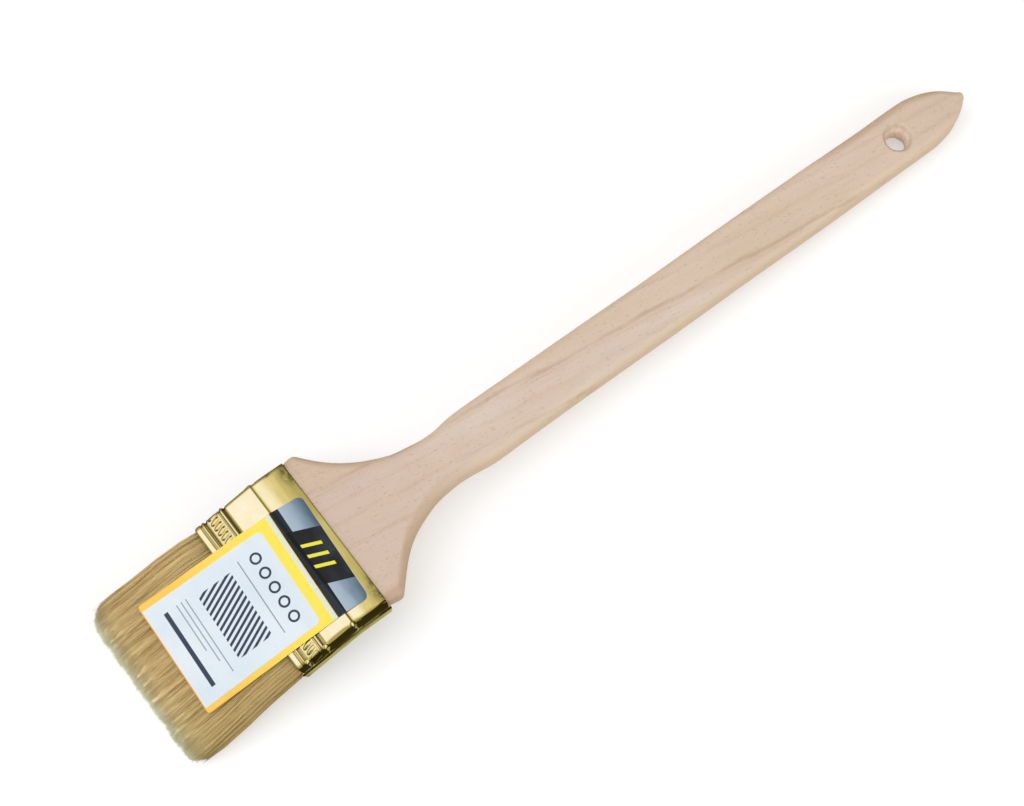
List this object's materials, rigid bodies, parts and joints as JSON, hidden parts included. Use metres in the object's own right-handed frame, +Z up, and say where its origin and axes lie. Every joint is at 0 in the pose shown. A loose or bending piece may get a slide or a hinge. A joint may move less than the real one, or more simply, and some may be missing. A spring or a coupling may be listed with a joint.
{
  "type": "paint brush",
  "caption": "Long-handled flat paint brush with an angled head: beech handle with a hanging hole, pressed brass-coloured ferrule, natural bristles and a printed label.",
  "frame": {"origin": "centre of the bounding box in plan, on the surface the brush lies on", "axes": "+X along the brush from the bristles to the tip of the handle, +Y across its width, +Z up out of its front"},
  "size_m": [0.376, 0.0664, 0.0303],
  "materials": {
    "beech": "sanded, unvarnished beech, pinkish with fine short dark flecks",
    "brass_tinplate": "bright brass-coloured tinplate, pressed ribs",
    "bristle": "natural hog bristle, khaki with pale split tips",
    "printed_sheet": "coated printed sheet, pale panel in a yellow frame under a dark band",
    "plug_wood": "rough sawn softwood",
    "resin": "cured amber resin",
    "nail_steel": "small plated nails"
  },
  "bodies": {
    "root": {"handle": "beech", "ferrule": "brass_tinplate", "bristle_front": "bristle", "bristle_back": "bristle", "label": "printed_sheet", "spacer_plug": "plug_wood", "epoxy_setting": "resin", "nail_front_left": "nail_steel", "nail_front_right": "nail_steel", "nail_back_left": "nail_steel", "nail_back_right": "nail_steel"}
  },
  "joints": []
}
